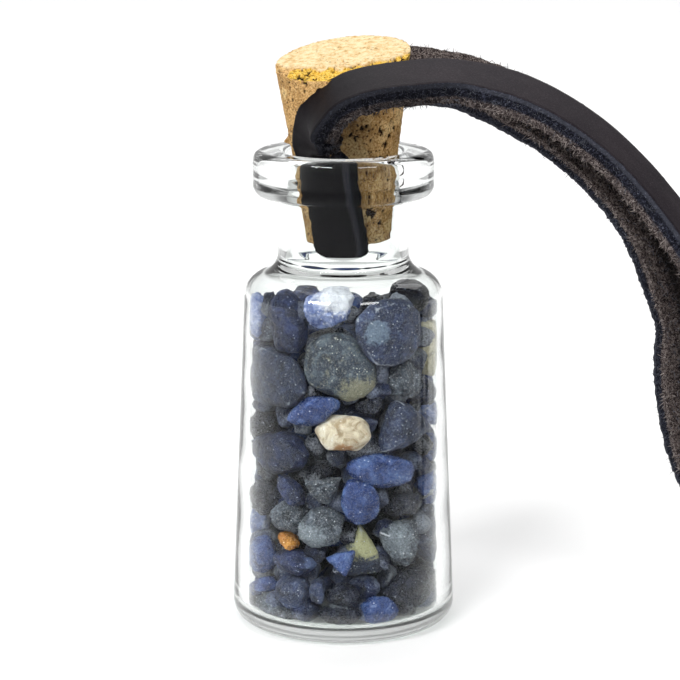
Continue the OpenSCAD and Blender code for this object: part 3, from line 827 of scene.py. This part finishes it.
def cork_mesh():
    """The turned form of the whole cork, as rings: bottom, side and cut top."""
    around, up, in_top, in_end = 264, 112, 42, 12
    rings = []
    for j in range(1, in_end + 1):
        share = j / in_end
        rings.append([leaned(CORK_END_R * share * math.cos(a), CORK_END_R * share * math.sin(a), -CORK_IN)
                      for a in (2 * math.pi * k / around for k in range(around))])
    ends = []
    for k in range(around):
        a = 2 * math.pi * k / around
        low, high = 4 * MM, CORK_OUT + 3 * MM
        for _ in range(24):
            middle = (low + high) / 2
            low, high = (middle, high) if over_cut(cork_side(middle, a)) < 0 else (low, middle)
        ends.append(low)
    for j in range(1, up + 1):
        rings.append([cork_side(-CORK_IN + (ends[k] + CORK_IN) * j / up, 2 * math.pi * k / around)
                      for k in range(around)])
    rim = rings[-1]
    centre = sum(rim, Vector()) / around
    for j in range(1, in_top):
        share = 1 - j / in_top
        rings.append([centre + (p - centre) * share for p in rim])
    points = [p for ring in rings for p in ring] + [leaned(0, 0, -CORK_IN), centre]
    return np.array(points), turned_faces(len(rings), around)


def normals_of(points, faces):
    mesh = bpy.data.meshes.new("for_normals")
    mesh.from_pydata([tuple(p) for p in points], [], faces)
    mesh.update()
    out = np.array([v.normal for v in mesh.vertices])
    bpy.data.meshes.remove(mesh)
    return out


# A crumb that stands out of the cork's left side just above the rim
CRUMB_AT = (-4.6 * MM, -0.4 * MM, 1.0 * MM)


def add_cork():
    points, faces = cork_mesh()
    normals = normals_of(points, faces)
    first, second, tone = [], [], []
    for p in points:
        q = Vector(p)
        q += noise_vector(q / (0.7 * MM)) * 0.35 * MM
        near, where = noise.voronoi(q / (1.1 * MM))
        first.append(near[0])
        second.append(near[1])
        tone.append(noise.cell(Vector(where[0]) * 7.3))
    first, second, tone = np.array(first), np.array(second), np.array(tone)
    seam = 1 - smooth_step(second - first, 0.0, 0.14)
    over = np.array([-over_cut(Vector(p)) for p in points])
    top = 1 - smooth_step(over, 0.02 * MM, 0.12 * MM)
    turn = np.degrees(np.arctan2(points[:, 0], -points[:, 1]))
    ragged = fractal(points, 0.9 * MM, 3, 4.0)
    left = smooth_step(turn, -60, -46) * (1 - smooth_step(turn, -6, 8))
    right = smooth_step(turn, 44, 56) * (1 - smooth_step(turn, 78, 92))
    worn_line = -2.1 * MM + 62 * (points[:, 0] - 1 * MM) ** 2
    front = smooth_step(worn_line - points[:, 1] + 0.5 * MM * ragged, 0, 0.25 * MM) * top
    top = top - front
    stain = front * smooth_step(points[:, 0], -4.9 * MM, -4.2 * MM) * (0.75 + 0.6 * ragged)
    stain += left * (1 - smooth_step(over + 0.45 * MM * ragged, 0.05 * MM, 0.35 * MM)) * (1 - top)
    stain += 0.7 * right * (1 - smooth_step(over + 0.4 * MM * ragged, 0.5 * MM, 0.9 * MM)) * (1 - top)
    pits = fractal(points, 0.55 * MM, 4, 21.0)
    where = fractal(points, 2.5 * MM, 2, 31.0)
    pit = smooth_step(pits + 0.35 * where + 0.22 * np.clip(stain, 0, 1), 0.46, 0.66) * (1 - 0.85 * top)
    rough = fractal(points, 0.30 * MM, 3, 2.0)
    broken = left * (1 - smooth_step(over, 0.2 * MM, 1.2 * MM)) * (1 - smooth_step(ragged, -0.3, 0.4))
    depth = 0.04 * seam * (1 - top) + 0.28 * pit + 0.06 * (rough + 0.5) + 0.25 * broken
    depth += front * (0.12 + 0.25 * np.clip(0.5 + fractal(points, 0.45 * MM, 3, 8.0), 0, 1))
    crumb = np.linalg.norm(points - np.array(leaned(*CRUMB_AT)), axis=1)
    depth -= 0.5 * np.exp(-(crumb / (0.28 * MM)) ** 2)
    # Painted shade: the cork is darker inside the neck and where the strap's shadow falls on its front
    in_bottle = 1 - smooth_step(points[:, 2], BOTTLE_H - 0.5 * MM, BOTTLE_H + 0.3 * MM)
    strap_shadow = (1 - smooth_step(points[:, 0] + 0.3 * MM * ragged, 1.0 * MM, 4.2 * MM)) * (points[:, 1] < 0)
    strap_shadow *= points[:, 0] > -2 * MM
    strap_shadow *= 1 - smooth_step(points[:, 2], BOTTLE_H + 3 * MM, BOTTLE_H + 6 * MM)
    points = points - normals * (depth[:, None] * MM)
    piece = new_piece("cork_stopper", points, faces, cork_material())
    set_attribute(piece, "grain_tone", np.clip(0.5 + 0.45 * tone - 0.25 * seam, 0, 1))
    set_attribute(piece, "stain", np.clip(stain, 0, 1))
    set_attribute(piece, "top", top)
    set_attribute(piece, "shade", np.clip(0.36 * in_bottle + 0.9 * strap_shadow * (1 - 0.6 * in_bottle), 0, 1))
    set_attribute(piece, "pit", np.clip(pit + 0.3 * seam * (1 - top), 0, 1))
    dress(piece, "cork", "cork")


# Strap

def strap_rows():
    """Rows of the route: place, the way that the smooth side faces, and thickness."""
    far = math.sqrt((BORE_R - SQUEEZE_GAP) ** 2 - (STRAP_W / 2 - STRAP_EDGE) ** 2)
    pinch_r = far - PINCHED_T / 2

    def pinched(turn, share):
        out = Vector((-math.sin(math.radians(turn)), -math.cos(math.radians(turn)), 0))
        return out * pinch_r + Vector((0, 0, STRAP_LOW + share * (BOTTLE_H - STRAP_LOW))), out, PINCHED_T

    def arched(row, thick):
        drop = ARCH_RISE if row[2] > 0 else BOTTLE_H - STRAP_W / 2
        at = Vector((row[0] * ARCH_REACH, row[1] * BESIDE, BOTTLE_H + row[2] * drop))
        return at, Vector(row[3:]), thick

    def ringed(row):
        at = Vector((ARCH_REACH + row[0] * RING_L, row[1] * RING_W / 2, STRAP_W / 2))
        return at, Vector((row[0] - 0.5, row[1] / 2, 0)), STRAP_T

    between = (STRAP_T + PINCHED_T) / 2
    shares = (0, 0.35, 0.7, 0.94)
    rows = [pinched(PINCH_TURN * s, s) for s in shares]
    rows += [arched(r, STRAP_T if k else between) for k, r in enumerate(FRONT_STRAND)]
    rows += [ringed(r) for r in RING]
    rows += [arched(r, STRAP_T if k else between) for k, r in enumerate(BACK_STRAND[::-1])][::-1]
    rows += [pinched(180, s) for s in shares[::-1]]
    return rows


def strap_stations(fine, coarse):
    """Place, direction, facing and thickness along the strap, closer together where it is in the air."""
    rows = strap_rows()
    places = [r[0] for r in rows]
    last = len(rows) - 1

    def along(i, u):
        p1, p2 = places[i], places[i + 1]
        p0 = places[i - 1] if i else 2 * p1 - p2
        p3 = places[i + 2] if i < last - 1 else 2 * p2 - p1
        return 0.5 * (2 * p1 + (p2 - p0) * u + (2 * p0 - 5 * p1 + 4 * p2 - p3) * u * u
                      + (3 * p1 - p0 - 3 * p2 + p3) * u ** 3)

    out = []
    for i in range(last):
        step = coarse if places[i].x > ARCH_REACH * 1.05 else fine
        count = max(1, math.ceil((places[i + 1] - places[i]).length / step))
        for k in range(count + (i == last - 1)):
            u = k / count
            t = (along(i, u + 0.01) - along(i, u - 0.01)).normalized()
            face = rows[i][1] * (1 - u) + rows[i + 1][1] * u
            w = t.cross(face).normalized()
            out.append((along(i, u), t, w, w.cross(t), rows[i][2] * (1 - u) + rows[i + 1][2] * u))
    return out


def strap_outline():
    """Points round the strap's section in halves of its width and thickness, and what side each is on:
    0 smooth, 1 cut edge, 2 rough."""
    flat, edge = 15, 7
    out = []
    out += [(0.94 - 1.88 * k / flat, 1.0, 0) for k in range(flat + 1)]
    out += [(-1.0, 0.86 - 1.76 * k / edge, 1) for k in range(edge + 1)]
    out += [(-0.96 + 1.92 * k / flat, -1.0, 2) for k in range(flat + 1)]
    out += [(1.0, -0.9 + 1.76 * k / edge, 1) for k in range(edge + 1)]
    return out


def strap_material():
    material, tree, shader = new_material("strap_leather")
    at = place(tree)
    side = attribute(tree, "side")
    fine = grain(tree, 0.15 * MM, 4, 0.7, at)
    cloud = grain(tree, 4 * MM, 4, 0.6, at)
    smooth = ramp(tree, cloud, (0.3, colour("201b20")), (0.7, colour("292327")))
    smooth = mix(tree, ramp(tree, fine, (0.32, 0.8), (0.48, 0.0)), smooth, colour("161218"))
    smooth = mix(tree, ramp(tree, fine, (0.53, 0.0), (0.72, 0.6)), smooth, colour("463e44"))
    fuzz = grain(tree, 0.26 * MM, 6, 0.8, at, 1.5)
    cut = ramp(tree, fuzz, (0.40, colour("08080c")), (0.52, colour("1d1e28")), (0.61, colour("4c4f5e")),
               (0.71, colour("9c9ea8")))
    flesh = ramp(tree, fuzz, (0.37, colour("0c090a")), (0.47, colour("3a3233")), (0.55, colour("80746f")),
                 (0.65, colour("c6bcb6")))
    rough = mix(tree, ramp(tree, side, (0.55, 0.0), (0.85, 1.0)), cut, flesh)
    body = mix(tree, ramp(tree, side, (0.10, 0.0), (0.30, 1.0)), smooth, rough)
    # Painted highlight from the rim attribute: a light grey line along the smooth side's corner of the cut
    # edges, and along the turned edge in the neck
    body = mix(tree, ramp(tree, attribute(tree, "rim"), (0.35, 0.0), (0.9, 0.4)), body, colour("5a5c66"))
    # Painted shade: darker in the neck, near the rim on the front strand, beside the cork and in the cleft
    # between the strands
    body = mix(tree, math_node(tree, "MULTIPLY", attribute(tree, "painted_shade"), 0.92), body, colour("040406"))
    normal = bump(tree, fine, 0.02 * MM, 0.5)
    normal = bump(tree, math_node(tree, "MULTIPLY", fuzz, side), 0.30 * MM, 1.0, normal)
    shader.inputs["Specular IOR Level"].default_value = 0.06
    feed(tree, shader, Base_Color=body, Roughness=ramp(tree, side, (0.08, 0.5), (0.30, 0.95)), Normal=normal)
    return material


def in_neck(at, side, across, through, thick):
    """A point of the strap where the cork squeezes it, bent round against the bore."""
    out = Vector((at.x, at.y, 0)).normalized()
    side = (side - out * side.dot(out)).normalized()
    side = Vector((side.x, side.y, 0)).normalized()
    face_r = BORE_R - 0.07 * MM
    a = across / (face_r - thick / 2)
    r = face_r - (thick / 2 - through)
    return (out * math.cos(a) + side * math.sin(a)) * r + Vector((0, 0, at.z))


END_ROUND = 0.9 * MM
# How narrow the squeezed leather looks beside its full width
NECK_NARROW = 0.78


def in_free_air(z):
    """0 where the cork squeezes the strap, 1 above the rim."""
    return float(smooth_step(z, BOTTLE_H - 0.9 * MM, BOTTLE_H + 0.7 * MM))


def strap_point(station, across, through):
    """A point of the strap, across and through from its middle line."""
    at, t, w, n, thick = station
    if -6 * MM < at.x < 3 * MM:
        full = float(smooth_step(at.z, BOTTLE_H + 2 * MM, BOTTLE_H + 4.5 * MM))
        across *= NECK_NARROW + (1 - NECK_NARROW) * full
    free = at + w * across + n * through
    pinched = math.hypot(at.x, at.y) < BORE_R + 2 * MM and at.z < BOTTLE_H + 2 * MM
    if not pinched:
        return free
    from_end = at.z - STRAP_LOW
    if from_end < END_ROUND:
        across *= 1 - (1 - math.sqrt(1 - (1 - from_end / END_ROUND) ** 2)) * END_ROUND / (STRAP_W / 2)
    share = in_free_air(at.z)
    point = in_neck(at, w, across, through, thick).lerp(free, share)
    inside = BOTTLE_H + 0.05 * MM - point.z
    if inside > 0:
        up = max(0.0, MOUTH_ROUND - inside)
        mouth_r = BORE_R + MOUTH_ROUND - math.sqrt(MOUTH_ROUND ** 2 - up ** 2) - 0.05 * MM
        r = math.hypot(point.x, point.y)
        if r > mouth_r:
            point.x *= mouth_r / r
            point.y *= mouth_r / r
    return point


def near_cork(at):
    """1 beside the cork, where the leather's rough side and cut edges get painted shade, 0 well along the
    arch.
    """
    return 1 - float(smooth_step(at.x, 5 * MM, 12 * MM))


def in_cleft(at, across):
    """How deep in the shadow between the two strands a spot of the back strand's rough side is."""
    here = float(smooth_step(at.x, 10 * MM, 15 * MM) * (1 - smooth_step(at.x, 44 * MM, 54 * MM)))
    return here * (0.25 + 0.70 * math.exp(-((across - 0.12) / 0.30) ** 2))


def add_strap():
    stations = strap_stations(0.23 * MM, 0.8 * MM)
    outline = strap_outline()
    inset = 0.04 * MM
    points, side, rim, painted_shade = [], [], [], []
    run = 0.0
    before = None
    for station in stations:
        at, t, w, n, thick = station
        run += (at - before).length if before else 0
        before = at
        swell = float(smooth_step(at.z, BOTTLE_H - 0.5 * MM, BOTTLE_H + 1.5 * MM)
                      * (1 - smooth_step(at.z, BOTTLE_H + 2.5 * MM, BOTTLE_H + 5.5 * MM)))
        swell *= 0.7 * MM if at.x < 3 * MM and at.y < 0 else 0
        for across, through, kind in outline:
            a, b = across * (STRAP_W / 2 - inset), through * (thick / 2 - inset)
            spot = Vector((a, b, run))
            if kind == 0:
                bulge = 0.03 * noise.noise(spot / (1.5 * MM)) + 0.06 * (1 - across * across) - 0.06
            elif kind == 1:
                bulge = 0.14 * noise.noise(spot / (0.28 * MM)) + 0.10 * noise.noise(spot / (0.9 * MM)) - 0.02
            else:
                bulge = 0.16 * noise.noise(spot / (0.32 * MM)) + 0.12 * noise.noise(spot / (1.1 * MM)) - 0.02
            if kind == 1:
                a += across * bulge * MM
            else:
                b += through * bulge * MM
            if through < 0:
                b += through * swell
            points.append(strap_point(station, a, b))
            tight = 1 - in_free_air(at.z) if math.hypot(at.x, at.y) < BORE_R + 2 * MM else 0.0
            turned = tight > 0.5 and kind == 0 and across > 0.62
            fringe = kind == 1 and through < -0.35
            side.append(0.5 if turned else 0.8 if fringe else kind / 2)
            # Painted highlight: the corner between the smooth side and the cut edge, and a line on the turned
            # edge in the neck
            rim.append(1.0 if kind == 1 and through > 0.6 or tight > 0.5 and 0.55 < across < 0.72 else 0.0)
            # Painted shade: the front strand darker near the cork, its cut edges and rough side darker beside
            # it, the back strand's rough side darker in the cleft, and all of it darker inside the neck, less
            # so along a line on the turned edge
            dim = 0.7 * (1 - float(smooth_step(at.x, -2 * MM, 9 * MM))) if at.y < 0 else 0.0
            if kind and at.y < 0:
                dim = max(dim, 0.6 * near_cork(at))
            if kind == 2 and at.y > 0:
                dim = max(dim, in_cleft(at, across))
            line = tight > 0.5 and 0.5 < across < 0.75
            painted_shade.append(max(tight * (0.72 if line else 1.0), dim))
    c, count = len(outline), len(stations)
    faces = [(c * k + j, c * k + c + j, c * k + c + (j + 1) % c, c * k + (j + 1) % c)
             for k in range(count - 1) for j in range(c)]
    faces += [tuple(range(c)), tuple(range(c * count - 1, c * count - c - 1, -1))]
    piece = new_piece("neck_strap", points, faces, strap_material())
    set_attribute(piece, "side", side)
    set_attribute(piece, "rim", rim)
    set_attribute(piece, "painted_shade", painted_shade)
    dress(piece, "leather", "strap")
    return stations


def fibre_material():
    material, tree, shader = new_material("leather_fibres", Roughness=0.85)
    tone = attribute(tree, "tone")
    body = ramp(tree, tone, (0.0, colour("14161f")), (0.45, colour("62656f")), (0.6, colour("5c5250")),
                (1.0, colour("c4b8b2")))
    feed(tree, shader, Base_Color=body)
    return material


FIBRES_IN_AIR = 13500
FIBRES_LYING = 3000


def add_fibres(stations):
    """Short hairs of the leather's rough side and cut edges, each a thin tapered spike that bends over."""
    rng = random.Random(23)
    points, faces, tones = [], [], []
    in_air = [s for s in stations if s[0].x < ARCH_REACH * 1.05 and s[0].z > BOTTLE_H * 0.02]
    lying = [s for s in stations if s[0].x >= ARCH_REACH * 1.05]
    for group, count in ((in_air, FIBRES_IN_AIR), (lying, FIBRES_LYING)):
        for _ in range(count):
            at, t, w, n, thick = rng.choice(group)
            if at.z < BOTTLE_H + 0.5 * MM and math.hypot(at.x, at.y) < BORE_R + 1 * MM:
                continue
            if rng.random() < 0.42:
                sign = rng.choice((-1, 1))
                high = rng.uniform(-0.9, 0.6)
                root = at + w * sign * (STRAP_W / 2 - 0.06 * MM) + n * high * thick / 2
                out = w * sign
                tone = rng.uniform(0.0, 0.45) if high > -0.4 else rng.uniform(0.6, 1.0)
                # Painted shade: hairs beside the cork are darker
                if at.y < 0:
                    tone *= 1 - 0.85 * near_cork(at)
            else:
                across = rng.uniform(-1, 1)
                root = at + w * across * STRAP_W / 2 * 0.98 - n * (thick / 2 - 0.08 * MM)
                out = -n + w * across * 0.5
                # Painted shade: hairs in the cleft between the strands and beside the cork are darker
                dark = in_cleft(at, across) if at.y > 0 else 0.85 * near_cork(at)
                tone = rng.uniform(0.5, 1.0) * (1 - dark)
            lean = Vector([rng.gauss(0, 0.7) for _ in range(3)])
            way = (out + lean).normalized()
            if way.dot(out) < 0.15:
                way = (way + out).normalized()
            bend = t * rng.choice((-1, 1)) * rng.uniform(0.2, 0.9)
            length = rng.uniform(0.22, 0.62) * MM
            r = rng.uniform(0.018, 0.034) * MM
            side_a = way.orthogonal().normalized()
            side_b = way.cross(side_a)
            first = len(points)
            for share, wide in ((0.0, 1.0), (0.55, 0.75)):
                middle = root + way * length * share + bend * length * share * share * 0.5
                points += [middle + (side_a * math.cos(a) + side_b * math.sin(a)) * r * wide
                           for a in (0, 2.094, 4.189)]
            points.append(root + way * length + bend * length * 0.5)
            upper = first + 3
            faces += [(first + k, first + (k + 1) % 3, upper + (k + 1) % 3, upper + k) for k in range(3)]
            faces += [(upper + k, upper + (k + 1) % 3, upper + 3) for k in range(3)]
            faces.append((first + 2, first + 1, first))
            tones += [tone] * 7
    floor = 0.02 * MM
    points = [Vector((p.x, p.y, max(p.z, floor))) for p in points]
    piece = new_piece("strap_fibres", points, faces, fibre_material())
    set_attribute(piece, "tone", tones)
    dress(piece, "leather")


def main():
    scene = bpy.context.scene
    scene.view_settings.view_transform = "Standard"
    scene.cycles.max_bounces = 24
    scene.cycles.transmission_bounces = 20
    scene.cycles.transparent_max_bounces = 24
    add_camera()
    add_world()
    add_floor()
    add_lamps()
    add_bottle()
    add_main_stones()
    add_filling()
    add_rubble()
    add_cork()
    add_fibres(add_strap())


main()
